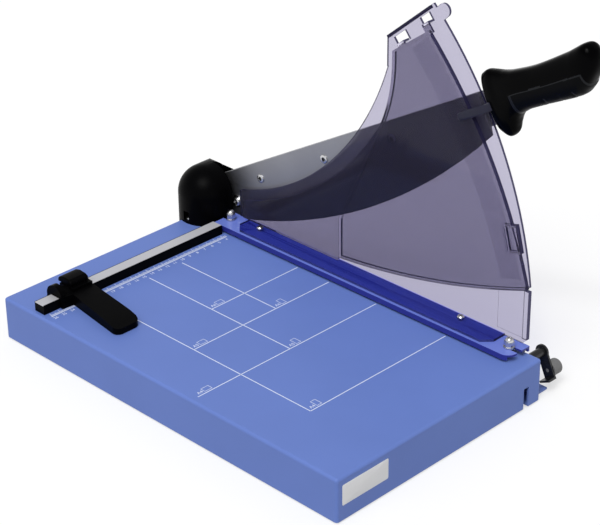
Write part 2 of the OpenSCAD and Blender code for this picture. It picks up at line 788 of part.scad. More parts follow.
// The guard's sweep about the pivot, scooped out towards the arm's hub
module guard_outline() difference() {
    union() {
        difference() {
            intersection() {
                translate([-pivot_y, pivot_z]) circle(guard_r, $fn = 180);
                polygon([[guard_heel, bar_top], [guard_r, bar_top],
                    guard_shoulder + guard_r * [1, tan(guard_tilt)], guard_shoulder,
                    [guard_shoulder[0], guard_neck], [guard_heel, guard_neck]]);
            }
            intersection() {
                translate(scoop_at) circle(scoop_r, $fn = 180);
                translate([2 * guard_heel, bar_top]) square([guard_shoulder[0] + scoop_r, guard_neck - bar_top]);
            }
        }
        // Stop tab at the upper front corner
        translate([-pivot_y, pivot_z]) rotate(tab_angle) {
            translate([guard_r - 14, -tab_r]) square([tab_reach - guard_r + 14, 2 * tab_r]);
            translate([tab_reach, 0]) circle(tab_r);
        }
    }
    // Windows under the upper edge
    translate(guard_shoulder) rotate(guard_tilt) for (w = windows)
        translate([w[0], -w[1] - w[3]]) square([w[2], w[3]]);
    // Straight lower front edge, with a notch above it
    translate([guard_toe, 0]) square([guard_r, guard_toe_z]);
    translate([guard_toe - notch_d, guard_toe_z]) square([guard_r, notch_h]);
    translate([guard_toe, bar_top]) rotate(45) square([8, 8], center = true);
}

// A band along the guard's toe, up to the second layer's lower edge
module toe_band(width, thick) side_plate(wall_x - thick, thick + past) difference() {
    translate([guard_toe - width, bar_top + 6]) square([width, guard_toe_z - bar_top - 6]);
    translate(belly_at) circle(belly_r + loose, $fn = 240);
}

module guard_wall() color([0.45, 0.43, 0.58, 0.45]) at_table() difference() {
    union() {
        side_plate(wall_x, guard_t) guard_outline();
        // Thicker band on the lower front edge
        toe_band(band_w, band_t);
        toe_band(toe_rim_w, toe_rim_t);
        translate([0, 0, bar_top]) linear_extrude(guard_t) polygon([[wall_x + guard_t, -flange_from],
            [flange_left + flange_cut, -flange_from], [flange_left, -flange_from - flange_cut],
            [flange_left, -flange_to + flange_cut], [flange_left + flange_cut, -flange_to],
            [wall_x + guard_t, -flange_to]]);
    }
    at_guard_screws() cylinder(h = flange_z + past, r = m4[0] + fit);
}

// The second layer, drawn in by its rim
module cover_outline(inset) {
    rise = inset / cos(cover_tilt);
    knee = atan2(cover_knee[0] - cover_heel, cover_knee[1] - cover_heel_z);
    difference() {
        intersection() {
            translate(sweep_at) circle(sweep_r - inset, $fn = 180);
            translate(belly_at) circle(belly_r - inset, $fn = 240);
            polygon([[cover_heel + inset, 0], [sweep_r, 0],
                cover_shoulder + guard_r * [1, tan(cover_tilt)] - [0, rise],
                cover_shoulder + [inset, inset * tan(cover_tilt) - rise],
                [cover_shoulder[0] + inset, cover_scoop_at[1]],
                cover_knee + inset * [cos(knee), -sin(knee)],
                [cover_heel + inset, cover_heel_z - inset * tan(knee / 2)]]);
        }
        translate(cover_scoop_at) circle(cover_scoop_r + inset, $fn = 120);
    }
}

module guard_cover() color([0.42, 0.4, 0.55, 0.45]) at_table() {
    difference() {
        side_plate(cover_x, cover_rim) cover_outline(0);
        side_plate(cover_x + cover_t, cover_rim) cover_outline(cover_t);
    }
    // Hooks through the windows of the first layer
    for (w = windows) {
        side_plate(cover_x, cover_t) translate(guard_shoulder) rotate(guard_tilt)
            translate([w[0] + (w[2] - hook_w) / 2, -hook_root])
                square([hook_w, hook_root - w[1] - w[3] + loose + hook_h]);
        side_plate(cover_x + cover_t - fit, cover_rim + guard_t - cover_t + fit + hook_past)
            translate(guard_shoulder) rotate(guard_tilt)
                translate([w[0] + (w[2] - hook_w) / 2, -w[1] - w[3] + loose]) square([hook_w, hook_h]);
    }
    // Clip across the front edge of the second layer
    side_plate(cover_x - clip_proud, cover_rim + clip_proud - fit) translate(clip_at) rotate(clip_lean)
        difference() {
            square(clip_size, center = true);
            square(clip_size - 2 * cover_t * [1, 1], center = true);
        }
}

module guard_screws() color([0.7, 0.7, 0.72]) at_table() at_guard_screws()
    translate([0, 0, flange_z]) screw(m4_dome, guard_t + bar_t + 2);

// Arm and knife

module at_blade_screws() for (i = [0:blade_screw_n - 1])
    translate([blade_x, -blade_screw_u - i * blade_screw_pitch, blade_screw_v]) children();

module at_heel_screw() translate([blade_x, -heel_screw_at[0], heel_screw_at[1]]) children();

module at_handle_screws() for (u = handle_screw_u)
    translate([handle_screw_x, -u, tang_bottom + tang_h / 2]) children();

module arm() color([0.5, 0.5, 0.53]) at_arm() difference() {
    side_plate(arm_x, arm_t) {
        circle(hub_disc_r);
        polygon([[12, -25], arm_waist, [arm_end, arm_toe], [arm_end, tang_bottom],
            [tang_end, tang_bottom], [tang_end, tang_bottom + tang_h], [arm_end, tang_bottom + tang_h],
            [arm_end, arm_top], [-2, arm_top], [-2, 0]]);
    }
    rod(arm_x - past, arm_t + 2 * past, bush_r);
    at_blade_screws() rod(0, blade_t + arm_t + past, m5[0] + fit);
    at_heel_screw() rod(0, blade_t + arm_t + past, m5[0] + fit);
    at_handle_screws() rod(-handle_screw_x, handle_screw_x, m5[0] + fit);
}

module arm_bush() color([0.72, 0.6, 0.35]) at_arm() ring(arm_x, arm_t, bush_r, axle_r + running_gap);

module blade() color([0.62, 0.62, 0.65]) at_arm() difference() {
    side_plate(blade_x, blade_t) intersection() {
        translate([knife_heel, -belly_h - past]) square([blade_end - knife_heel, belly_h + past + arm_top]);
        translate([belly_u, edge_v]) circle(edge_r, $fn = 360);
    }
    at_blade_screws() rod(-past, blade_t + 2 * past, m5[0] + fit);
    at_heel_screw() rod(-past, blade_t + 2 * past, m5[0] + fit);
    // Ground bevel on the far face
    translate([blade_x, -belly_u, edge_v]) rotate([0, 90, 0]) rotate_extrude($fn = 360)
        polygon([[edge_r - bevel_w, blade_t], [edge_r - bevel_w, blade_t + past],
            [edge_r + past, blade_t + past], [edge_r + past, 0.4], [edge_r, 0.4]]);
}

module blade_screws() color([0.75, 0.75, 0.77]) at_arm() at_blade_screws()
    to_right() socket_screw([m5[0], m5[1], 1.2], blade_t + arm_t - fit);

module heel_screw() color([0.75, 0.75, 0.77]) at_arm() at_heel_screw() to_right() {
    cylinder(h = heel_washer_t, r = heel_washer_r);
    translate([0, 0, heel_washer_t]) screw(m5, heel_washer_t + blade_t + arm_t - fit);
}

// The handle's skin: each ring is a full oval between its lower and upper edge
function sign_power(x, p) = x < 0 ? -pow(-x, p) : pow(x, p);
handle_points = [for (s = all_rings, k = [0:ring_points - 1])
    let (turn = 360 * k / ring_points, middle = grip_h * (s[1] + s[2]) / 2, high = grip_h * (s[2] - s[1]) / 2)
    [arm_mid + s[3] * grip_half_w * sign_power(cos(turn), 2 / ring_power),
        -collar_u - s[0] * handle_len, middle + high * sign_power(sin(turn), 2 / ring_power)]];

module handle_form() polyhedron(handle_points, tube_skin(len(all_rings), ring_points));

module insert_room(gap) translate([arm_mid - 2 * grip_half_w, -insert_to + gap, -3 * insert_top])
    cube([4 * grip_half_w, insert_to - insert_from - 2 * gap, 4 * insert_top - gap]);

module finger_form(gap) {
    side_plate(finger_x, finger_t) translate([finger_from, finger_v]) square([finger_to - finger_from, finger_h]);
    side_plate(finger_x, arm_mid - 0.88 * grip_half_w + finger_bite - finger_x + gap)
        translate([collar_u + 1 - gap, finger_v - gap])
            square([finger_to - collar_u - 1 + 2 * gap, finger_h + 2 * gap]);
}

module handle() color([0.03, 0.03, 0.035]) at_arm() difference() {
    handle_form();
    insert_room(0);
    finger_form(fit);
    translate([arm_x - fit, -tang_end - fit, tang_bottom - fit])
        cube([arm_t + 2 * fit, tang_end - collar_u + fit + past, tang_h + 2 * fit]);
    at_handle_screws() {
        rod(-handle_screw_x + arm_far - past, handle_screw_x - arm_far + 2 * past, m5[0] + fit);
        rod(0, 2 * grip_half_w, m5[1] + fit);
    }
}

module grip_insert() color([0.12, 0.12, 0.125]) at_arm() intersection() {
    handle_form();
    insert_room(fit);
}

module guide_finger() color([0.05, 0.05, 0.055]) at_arm() finger_form(0);

module handle_screws() color([0.5, 0.5, 0.52]) at_arm() at_handle_screws()
    to_left() socket_screw(m5, handle_screw_x - arm_x - fit);

// Latch

module latch_stud() color([0.6, 0.6, 0.62]) at_table() at_stud() {
    rod(table_right - sheet_t - 7, latch_x + latch_t + 2 - table_right + sheet_t + 7, stud_r);
    rod(table_right, latch_x - loose - table_right, barrel_r);
}

module latch_stud_nut() color([0.55, 0.55, 0.57]) at_table() at_stud()
    translate([table_right - sheet_t - 5, 0, 0]) rotate([0, 90, 0]) nut(stud_r + fit, 5.5, 5);

module latch_clip() color([0.35, 0.35, 0.36]) at_table() at_stud() difference() {
    ring(latch_x + latch_t + fit, clip_t, stud_r + 2.2, stud_r + fit);
    translate([latch_x, -1.5, 0]) cube([2 * latch_t + clip_t, 3, 2 * stud_r]);
}

module knob_seat() translate([0, -knob_u * sin(latch_lean), -knob_u * cos(latch_lean)]) children();

module latch_lever() color([0.08, 0.08, 0.085]) at_table() at_stud() difference() {
    union() {
        side_plate(latch_x, latch_t) {
            circle(latch_w / 2 + 1);
            rotate(latch_lean) translate([-latch_w / 2, -latch_len]) square([latch_w, latch_len]);
        }
        side_plate(latch_tab_x, latch_x - latch_tab_x + past) rotate(latch_lean)
            translate([-latch_w / 2, -latch_len]) square([latch_w, latch_t]);
    }
    rod(latch_x - past, latch_t + 2 * past, stud_r + running_gap);
    knob_seat() rod(latch_x - past, latch_t + 2 * past, m4[0] + fit);
}

module latch_knob() color([0.45, 0.45, 0.45]) at_table() at_stud() knob_seat() {
    rod(latch_x, latch_t, m4[0]);
    translate([latch_x + latch_t, 0, 0]) rotate([0, 90, 0]) rotate_extrude() {
        square([knob_r, knob_len - 2]);
        square([knob_r - 2, knob_len]);
        translate([knob_r - 2, knob_len - 2]) circle(2);
    }
}

base_tray();
rubber_feet();
counter_blade();
counter_blade_screws();
pivot_bracket();
bracket_screws();
axle_bolt();
axle_spacer();
friction_washer();
disc_springs();
axle_nut();
hub_cover();
hub_cover_screw();
paper_rail();
rail_strip();
rail_screws();
guide_bolts();
guide_washers();
guide_nuts();
press_springs();
latch_stud();
latch_stud_nut();
latch_clip();
arm();
arm_bush();
blade();
blade_screws();
heel_screw();
handle();
grip_insert();
guide_finger();
handle_screws();
press_bar();
guard_wall();
guard_cover();
guard_screws();
stop_body();
stop_clamp();
stop_pad();
latch_lever();
latch_knob();
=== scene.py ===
import json

import bmesh
import bpy
import numpy as np
from mathutils import Matrix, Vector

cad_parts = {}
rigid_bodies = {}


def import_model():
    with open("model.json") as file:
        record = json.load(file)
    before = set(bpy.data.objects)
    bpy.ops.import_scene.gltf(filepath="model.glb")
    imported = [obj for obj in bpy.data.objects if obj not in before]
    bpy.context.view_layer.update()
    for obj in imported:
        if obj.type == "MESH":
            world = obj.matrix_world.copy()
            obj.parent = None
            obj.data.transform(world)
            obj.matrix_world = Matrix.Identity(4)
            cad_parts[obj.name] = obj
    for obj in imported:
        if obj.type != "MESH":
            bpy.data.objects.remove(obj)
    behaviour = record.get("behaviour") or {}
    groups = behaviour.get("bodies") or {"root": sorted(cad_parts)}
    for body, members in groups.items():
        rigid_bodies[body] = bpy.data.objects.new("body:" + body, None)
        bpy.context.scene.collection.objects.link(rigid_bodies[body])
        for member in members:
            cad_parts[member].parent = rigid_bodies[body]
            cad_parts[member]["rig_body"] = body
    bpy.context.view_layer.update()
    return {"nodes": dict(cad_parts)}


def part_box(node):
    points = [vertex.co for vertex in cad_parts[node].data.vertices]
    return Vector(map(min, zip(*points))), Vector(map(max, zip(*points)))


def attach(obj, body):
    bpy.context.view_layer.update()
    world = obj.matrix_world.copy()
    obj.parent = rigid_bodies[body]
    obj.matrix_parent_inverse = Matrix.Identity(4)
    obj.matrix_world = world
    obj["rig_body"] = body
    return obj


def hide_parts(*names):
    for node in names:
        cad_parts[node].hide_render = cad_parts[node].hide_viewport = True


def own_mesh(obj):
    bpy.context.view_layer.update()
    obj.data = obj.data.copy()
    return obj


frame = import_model()
nodes = frame["nodes"]
scene = bpy.context.scene
print("frame loaded:", len(nodes), "nodes")

mm = 0.001
bench = {"left": -270, "front": -386}    # table's edges, from the cutting line and the rail's face
trayLow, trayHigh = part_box("base_tray")
datum = np.array([trayLow.x - bench["left"] * mm, trayLow.y - bench["front"] * mm, trayHigh.z])
hinge = {"back": 38, "up": 9, "lift": np.radians(29.5)}    # the arm's axle and how far the arm is raised
meshing = {"weld": 1e-6, "copyWeld": 2e-6, "flat": np.radians(1)}    # points or faces that count as one


# millimetres from the cutting line, the rail's face and the table top, to the part's metres
def fromBench(points):
    return datum + np.asarray(points, float) * mm


# millimetres across, along and above the raised arm, turned about the axle
def fromArm(across, along, above):
    cosine, sine = np.cos(hinge["lift"]), np.sin(hinge["lift"])
    forward = along * cosine - above * sine - hinge["back"]
    up = along * sine + above * cosine + hinge["up"]
    return fromBench(np.stack(np.broadcast_arrays(across, -forward, up), -1).reshape(-1, 3))


# quads between neighbouring rings of points, and the first and last rings as caps
def tubeFaces(rings, around, capped=True):
    ring, spot = np.meshgrid(np.arange(rings - 1) * around, np.arange(around), indexing="ij")
    after = (spot + 1) % around
    quads = np.stack([ring + spot, ring + after, ring + around + after, ring + around + spot], -1)
    caps = [list(range(around))[::-1], list(range((rings - 1) * around, rings * around))]
    return quads.reshape(-1, 4).tolist() + (caps if capped else [])


# a strip between two edge lines (along, up), row by row, with an outer and an inner face across
def stripForm(across, near, far):
    edges = np.stack([near, far, far, near], 1)
    sides = np.broadcast_to(np.repeat(across, 2)[None, :, None], (*edges.shape[:2], 1))
    points = np.concatenate([sides, -edges[..., :1], edges[..., 1:]], -1)
    return fromBench(points.reshape(-1, 3)), tubeFaces(*edges.shape[:2])


# cosine and sine round an oval bent towards a box: each keeps its sign, raised to 2 over the power
def ovalSweep(around, power):
    turn = np.linspace(0, 2 * np.pi, around, endpoint=False)[None]
    return [np.sign(wave) * np.abs(wave) ** (2 / power) for wave in (np.cos(turn), np.sin(turn))]


# a smooth step from 0 to 1 between two values
def ease(low, high, value):
    t = np.clip((value - low) / (high - low), 0, 1)
    return t * t * (3 - 2 * t)


# a smooth curve through rows of values, between the second and third of each four
def throughRows(rows, count):
    rows = np.asarray(rows, float)
    spot = np.linspace(0, len(rows) - 1, count)
    base = np.minimum(spot.astype(int), len(rows) - 2)
    t = (spot - base)[:, None]
    a, b, c, d = (rows[np.clip(base + k, 0, len(rows) - 1)] for k in (-1, 0, 1, 2))
    return b + 0.5 * t * (c - a + t * (2 * a - 5 * b + 4 * c - d + t * (3 * (b - c) + d - a)))


# several forms as one: their points in a row, and each skin's corners counted on
def joined(forms):
    points, faces, count = [], [], 0
    for form, skin in forms:
        points.append(form)
        faces += [[corner + count for corner in face] for face in skin]
        count += len(form)
    return np.concatenate(points), faces


# a mesh's points, one a row
def pointsOf(mesh):
    points = np.empty(3 * len(mesh.vertices))
    mesh.vertices.foreach_get("co", points)
    return points.reshape(-1, 3)


# the directions and the middles of a mesh's faces, one a row
def facesOf(mesh):
    ways, middles = np.empty((2, 3 * len(mesh.polygons)))
    mesh.polygons.foreach_get("normal", ways)
    mesh.polygons.foreach_get("center", middles)
    return ways.reshape(-1, 3), middles.reshape(-1, 3)


# which of its finishes each face of a mesh wears: the first that is true of the face, or else the other
def wearFaces(mesh, choices, other):
    order = list(mesh.materials)
    places = [order.index(finishes[finishName]) for finishName in (*choices, other)]
    kinds = np.select(list(choices.values()), places[:-1], places[-1])
    mesh.polygons.foreach_set("material_index", kinds.astype(np.int32))


# an object of a mesh, which rides on a body and stands for nodes
def placed(mesh, body, stands=()):
    piece = bpy.data.objects.new(mesh.name, mesh)
    scene.collection.objects.link(piece)
    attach(piece, body)
    if stands:
        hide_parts(*stands)
    return piece


# a new piece: points and faces welded, shaded smooth up to an angle, in its finishes
def addPiece(name, form, body, finishNames, stands=(), sharp=40, weld=True):
    points, faces = form
    mesh = bpy.data.meshes.new(name)
    mesh.from_pydata(np.asarray(points).tolist(), [], faces)
    if weld:
        shape = bmesh.new()
        shape.from_mesh(mesh)
        bmesh.ops.remove_doubles(shape, verts=shape.verts, dist=meshing["weld"])
        bmesh.ops.recalc_face_normals(shape, faces=shape.faces)
        shape.to_mesh(mesh)
        shape.free()
    mesh.shade_smooth()
    mesh.set_sharp_from_angle(angle=np.radians(sharp))
    for finishName in finishNames:
        mesh.materials.append(finishes[finishName])
    return placed(mesh, body, stands)


# a copy of a node's mesh in new finishes
def copied(node, ending, *finishNames):
    mesh = nodes[node].data.copy()
    mesh.name = node + ending
    mesh.materials.clear()
    for finishName in finishNames:
        mesh.materials.append(finishes[finishName])
    return mesh


# an object of a copied mesh, which stands for its node
def standIn(node, mesh):
    return placed(mesh, nodes[node]["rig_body"], [node])


# nodes of the given kinds in a material or the world
def newNodes(tree, *kinds):
    return [tree.nodes.new("ShaderNode" + kind) for kind in kinds]


# links from outputs to inputs
def linkAll(tree, pairs):
    for start, end in pairs:
        tree.links.new(start, end)


# finishes: colour is linear, and grain, patch and brush (fine across, long along) are millimetres
looks = {
    # edge lightens the colour along edges as a painted highlight
    "tablePaint": {"colour": (0.138, 0.216, 0.565), "rough": 0.42, "tone": 0.05, "patch": 60,
                   "grain": 0.7, "bump": 0.10, "edge": 1.06, "spec": 0.2},
    # the bar's top colour is painted light: a lighter blue on faces that look up
    "barPaint": {"colour": (0.026, 0.032, 0.262), "rough": 0.30, "tone": 0.06, "patch": 40,
                 "grain": 0.6, "bump": 0.06, "edge": 1.5, "spec": 0.35, "top": (0.150, 0.210, 0.640)},
    "blackPlastic": {"colour": (0.0012, 0.0012, 0.0015), "rough": 0.36, "tone": 0.20, "patch": 18,
                     "grain": 0.5, "bump": 0.12, "spec": 0.025},
    "handlePlastic": {"colour": (0.0006, 0.0006, 0.0008), "rough": 0.17, "tone": 0.15, "patch": 24,
                      "grain": 1.4, "bump": 0.03, "spec": 0.03},
    "gripPlastic": {"colour": (0.0025, 0.0026, 0.003), "rough": 0.36, "tone": 0.15, "patch": 12,
                    "grain": 0.6, "bump": 0.14, "spec": 0.04},
    "fingerPlastic": {"colour": (0.018, 0.018, 0.036), "rough": 0.34, "tone": 0.10, "patch": 8,
                      "grain": 0.6, "bump": 0.06, "spec": 0.2},
    # a lighter black for the grip panel's rim and ribs: a painted highlight
    "gripEdgeHighlight": {"colour": (0.011, 0.012, 0.014), "rough": 0.4, "tone": 0.15, "patch": 12,
                 "grain": 0.6, "bump": 0.1, "spec": 0.1},
    "greyPlastic": {"colour": (0.165, 0.165, 0.165), "rough": 0.48, "tone": 0.08, "patch": 6,
                    "grain": 0.5, "bump": 0.14, "spec": 0.3},
    "rubber": {"colour": (0.012, 0.012, 0.013), "rough": 0.75, "tone": 0.15, "patch": 5,
               "grain": 0.4, "bump": 0.25, "spec": 0.2},
    # black metal paint, also used as painted shade inside the blade screws' sockets
    "blackMetalAndSocketShade": {"colour": (0.010, 0.010, 0.011), "rough": 0.28, "tone": 0.2, "patch": 10,
                   "grain": 0.6, "bump": 0.08, "edge": 2.2, "spec": 0.45},
    "bladeSteel": {"colour": (0.345, 0.345, 0.365), "rough": 0.44, "tone": 0.10, "patch": 50,
                   "metal": 1, "brush": (0.4, 30), "lean": 29.5, "bump": 0.05},
    "armSteel": {"colour": (0.345, 0.345, 0.36), "rough": 0.45, "tone": 0.12, "patch": 60,
                 "metal": 1, "brush": (0.45, 24), "lean": 29.5, "bump": 0.06},
    "counterSteel": {"colour": (0.36, 0.36, 0.38), "rough": 0.30, "tone": 0.10, "patch": 40,
                     "metal": 1, "brush": (0.4, 40), "lean": 0, "bump": 0.05},
    "screwSteel": {"colour": (0.62, 0.62, 0.63), "rough": 0.24, "tone": 0.10, "patch": 3,
                   "metal": 1, "grain": 0.3, "bump": 0.04},
    "stripMetal": {"colour": (0.60, 0.60, 0.64), "rough": 0.55, "tone": 0.04, "patch": 30,
                   "metal": 0.4, "brush": (0.3, 30), "bump": 0.03},
    "bushBrass": {"colour": (0.55, 0.42, 0.18), "rough": 0.32, "tone": 0.10, "patch": 4,
                  "metal": 1, "grain": 0.4, "bump": 0.05},
    "felt": {"colour": (0.08, 0.08, 0.08), "rough": 0.9, "tone": 0.3, "patch": 1.5,
             "grain": 0.3, "bump": 0.5, "spec": 0.1},
    "printInk": {"colour": (0.74, 0.80, 0.98), "rough": 0.5, "tone": 0.06, "patch": 4,
                 "grain": 0.4, "bump": 0.05, "spec": 0.2},
    "labelFilm": {"colour": (0.83, 0.83, 0.84), "rough": 0.35, "tone": 0.03, "patch": 12,
                  "grain": 0.8, "bump": 0.03, "spec": 0.3},
}
# what finishes share: how far a face looks up for the painted light on upper faces, how edges are found for
# the painted highlight, and depths in millimetres
surface = {"upper": (0.55, 0.9), "worn": 0.8, "wornLean": (0.99, 0.85), "wornSamples": 4,
           "uneven": 0.15, "relief": 0.2, "wave": 1, "strokeDetail": 3, "detail": 2, "spec": 0.5}


# a finish: patches of tone in the colour, uneven roughness, and grain or brush strokes as bump
def newFinish(name, look):
    finish = bpy.data.materials.new(name)
    finish.use_nodes = True
    tree = finish.node_tree
    shader = tree.nodes["Principled BSDF"]

    def node(kind, **settings):    # a node with its settings
        made = newNodes(tree, kind)[0]
        for key, value in settings.items():
            setattr(made, key, value)
        return made

    def noise(size, detail=surface["detail"], place=None):    # noise of a size, over the object
        made = node("TexNoise")
        made.inputs["Scale"].default_value = 1 / (size * mm)
        made.inputs["Detail"].default_value = detail
        tree.links.new(place or where.outputs["Object"], made.inputs["Vector"])
        return made.outputs["Fac"]

    def ramp(value, ends):    # 0 to 1 between two values
        made = node("MapRange")
        made.inputs["From Min"].default_value, made.inputs["From Max"].default_value = ends
        tree.links.new(value, made.inputs["Value"])
        return made.outputs["Result"]

    def blend(kind, low, high, factor, way="MIX"):    # low to high by a factor
        made = node("Mix", data_type=kind, blend_type=way)
        first, second, result = {"RGBA": (6, 7, 2), "FLOAT": (2, 3, 0)}[kind]    # the kind's own sockets
        for socket, value in ((first, low), (second, high)):
            if isinstance(value, bpy.types.NodeSocket):
                tree.links.new(value, made.inputs[socket])
            else:
                made.inputs[socket].default_value = value
        tree.links.new(factor, made.inputs[0])
        return made.outputs[result]

    def tinted(share):    # a share of the finish's colour
        return (*np.clip(np.array(look["colour"]) * share, 0, 1), 1)

    where = node("TexCoord")
    facing = node("NewGeometry").outputs["Normal"]
    colour = blend("RGBA", tinted(1 - look["tone"]), tinted(1 + look["tone"]), noise(look["patch"]))
    if "top" in look:    # painted light: faces that look up take a lighter blue, as if lit from above
        parts = node("SeparateXYZ")
        tree.links.new(facing, parts.inputs[0])
        colour = blend("RGBA", colour, (*look["top"], 1), ramp(parts.outputs["Z"], surface["upper"]))
    if "edge" in look:    # painted highlight: the colour made lighter along the edges
        rounded = node("Bevel", samples=surface["wornSamples"])
        rounded.inputs["Radius"].default_value = surface["worn"] * mm
        lean = node("VectorMath", operation="DOT_PRODUCT")
        tree.links.new(rounded.outputs["Normal"], lean.inputs[0])
        tree.links.new(facing, lean.inputs[1])
        worn = ramp(lean.outputs["Value"], surface["wornLean"])
        colour = blend("RGBA", colour, (*[look["edge"]] * 3, 1), worn, "MULTIPLY")
    tree.links.new(colour, shader.inputs["Base Color"])
    if "brush" in look:    # strokes along Y, raised by the lean, or along X where there is none
        fine, long = look["brush"]
        mapping = node("Mapping")
        mapping.inputs["Rotation"].default_value = (np.radians(look.get("lean", 0)), 0, 0)
        mapping.inputs["Scale"].default_value = (1, fine / long, 1) if "lean" in look else (fine / long, 1, 1)
        tree.links.new(where.outputs["Object"], mapping.inputs["Vector"])
        strokes = noise(fine, surface["strokeDetail"], mapping.outputs["Vector"])
    else:
        strokes = noise(look["grain"])
    smoothest, roughest = (look["rough"] * (1 + side * surface["uneven"]) for side in (-1, 1))
    tree.links.new(blend("FLOAT", smoothest, roughest, strokes), shader.inputs["Roughness"])
    relief = node("Bump")
    relief.inputs["Strength"].default_value = look["bump"]
    relief.inputs["Distance"].default_value = surface["relief"] * mm
    tree.links.new(strokes, relief.inputs["Height"])
    tree.links.new(relief.outputs["Normal"], shader.inputs["Normal"])
    shader.inputs["Metallic"].default_value = look.get("metal", 0)
    shader.inputs["Specular IOR Level"].default_value = look.get("spec", surface["spec"])
    return finish


finishes = {name: newFinish(name, look) for name, look in looks.items()}

# smoke-tinted clear plastic: the tint is for a whole sheet, and lets is what lamps' light keeps at a face
clearPlastic = {
    "smokePlastic": {"tint": (0.360, 0.346, 0.430), "lets": (0.66, 0.66, 0.86), "through": 0.965,
                     "rough": 0.04, "ior": 1.14, "wave": 22, "bump": 0.02},
    "smokeEdge": {"tint": (0.030, 0.027, 0.070), "lets": (0.50, 0.48, 0.58), "through": 0.35,
                  "rough": 0.12, "ior": 1.14, "wave": 6, "bump": 0.04},
    "smokeRim": {"tint": (0.56, 0.53, 0.66), "lets": (0.80, 0.79, 0.84), "through": 1,
                 "rough": 0.10, "ior": 1.10, "wave": 8, "bump": 0.03},
    "smokeSeam": {"tint": (0.60, 0.585, 0.66), "lets": (0.80, 0.79, 0.84), "through": 1,
                  "rough": 0.02, "ior": 1.0, "wave": 22, "bump": 0.01},
    "smokeStep": {"tint": (0.86, 0.85, 0.89), "lets": (0.95, 0.95, 0.96), "through": 1,
                  "rough": 0.02, "ior": 1.02, "wave": 22, "bump": 0.01},
    "smokeFoot": {"tint": (0.250, 0.250, 0.520), "lets": (0.60, 0.60, 0.80), "through": 1,
                  "rough": 0.06, "ior": 1.14, "wave": 22, "bump": 0.02},
}


# a clear finish: waves from the mould as bump, and light from lamps let straight through
def newClear(name, look):
    finish = bpy.data.materials.new(name)
    finish.use_nodes = True
    tree = finish.node_tree
    shader = tree.nodes["Principled BSDF"]
    shader.inputs["Base Color"].default_value = (*look["tint"], 1)
    shader.inputs["Roughness"].default_value = look["rough"]
    shader.inputs["IOR"].default_value = look["ior"]
    shader.inputs["Transmission Weight"].default_value = look["through"]
    where, wave, relief = newNodes(tree, "TexCoord", "TexNoise", "Bump")
    path, lit, through, both = newNodes(tree, "LightPath", "Math", "BsdfTransparent", "MixShader")
    wave.inputs["Scale"].default_value = 1 / (look["wave"] * mm)
    relief.inputs["Strength"].default_value = look["bump"]
    relief.inputs["Distance"].default_value = surface["wave"] * mm
    lit.operation = "MAXIMUM"
    through.inputs["Color"].default_value = (*look["lets"], 1)
    linkAll(tree, [
        (where.outputs["Object"], wave.inputs["Vector"]),
        (wave.outputs["Fac"], relief.inputs["Height"]),
        (relief.outputs["Normal"], shader.inputs["Normal"]),
        (path.outputs["Is Shadow Ray"], lit.inputs[0]),
        (path.outputs["Is Diffuse Ray"], lit.inputs[1]),
        (lit.outputs[0], both.inputs[0]),
        (shader.outputs[0], both.inputs[1]),
        (through.outputs[0], both.inputs[2]),
        (both.outputs[0], tree.nodes["Material Output"].inputs["Surface"]),
    ])
    return finish


finishes |= {name: newClear(name, look) for name, look in clearPlastic.items()}

# which finish each CAD node wears
wears = {
    "tablePaint": ["base_tray"],
    "barPaint": ["press_bar"],
    "blackPlastic": ["hub_cover", "paper_rail", "stop_body", "stop_clamp"],
    "fingerPlastic": ["guide_finger"],
    "handlePlastic": ["handle"],
    "gripPlastic": ["grip_insert"],
    "smokePlastic": ["guard_wall", "guard_cover"],
    "greyPlastic": ["latch_knob"],
    "rubber": ["rubber_feet"],
    "blackMetalAndSocketShade": ["pivot_bracket", "latch_lever", "latch_clip", "latch_stud"],
    "bladeSteel": ["blade"],
    "armSteel": ["arm"],
    "counterSteel": ["counter_blade"],
    "screwSteel": ["counter_blade_screws", "bracket_screws", "axle_bolt", "axle_spacer", "friction_washer",
                   "disc_springs", "axle_nut", "hub_cover_screw", "rail_screws", "guide_bolts",
                   "guide_washers", "guide_nuts", "press_springs", "latch_stud_nut", "blade_screws",
                   "heel_screw", "handle_screws", "guard_screws"],
    "stripMetal": ["rail_strip"],
    "bushBrass": ["arm_bush"],
    "felt": ["stop_pad"],
}
for finishName, names in wears.items():
    for name in names:
        nodes[name].data.materials.clear()
        nodes[name].data.materials.append(finishes[finishName])
print("finishes on:", len(finishes), "finishes")

# edges of mouldings and bars are rounded: width in millimetres, finish and slot
softEdges = {
    "stop_body": (1.6, "blackPlastic", "black_plastic"),
    "stop_clamp": (1.4, "blackPlastic", "black_plastic"),
    "paper_rail": (0.5, "blackPlastic", "black_plastic"),
    "press_bar": (0.8, "barPaint", "bar_paint"),
    "hub_cover": (2.4, "blackPlastic", "black_plastic"),
}
bevel = {"segments": 3, "angle": np.radians(30)}
stopFinger = {"from": -5, "near": 0.01, "tip": -84, "drawnTip": -80, "right": -206, "root": 0.72}


# the stop's finger, cut at its root: drawn in towards its right edge there, and a little shorter
def slimFinger(mesh):
    root, right, narrow = stopFinger["from"], stopFinger["right"], stopFinger["root"]
    shape = bmesh.new()
    shape.from_mesh(mesh)
    everything = shape.verts[:] + shape.edges[:] + shape.faces[:]
    rootPoint = fromBench((0, root, 0)).tolist()
    bmesh.ops.bisect_plane(shape, geom=everything, plane_co=rootPoint, plane_no=(0, 1, 0))
    shape.to_mesh(mesh)
    shape.free()
    points = pointsOf(mesh)
    x, y, z = ((points - datum) / mm).T
    t = (y - root) / (stopFinger["tip"] - root)
    slim = right - (right - x) * (narrow + (1 - narrow) * t)
    short = root + (stopFinger["drawnTip"] - root) * t
    drawn = fromBench(np.stack([slim, short, z], -1))
    points = np.where((y < root + stopFinger["near"])[:, None], drawn, points)
    mesh.vertices.foreach_set("co", points.ravel())
    mesh.update()


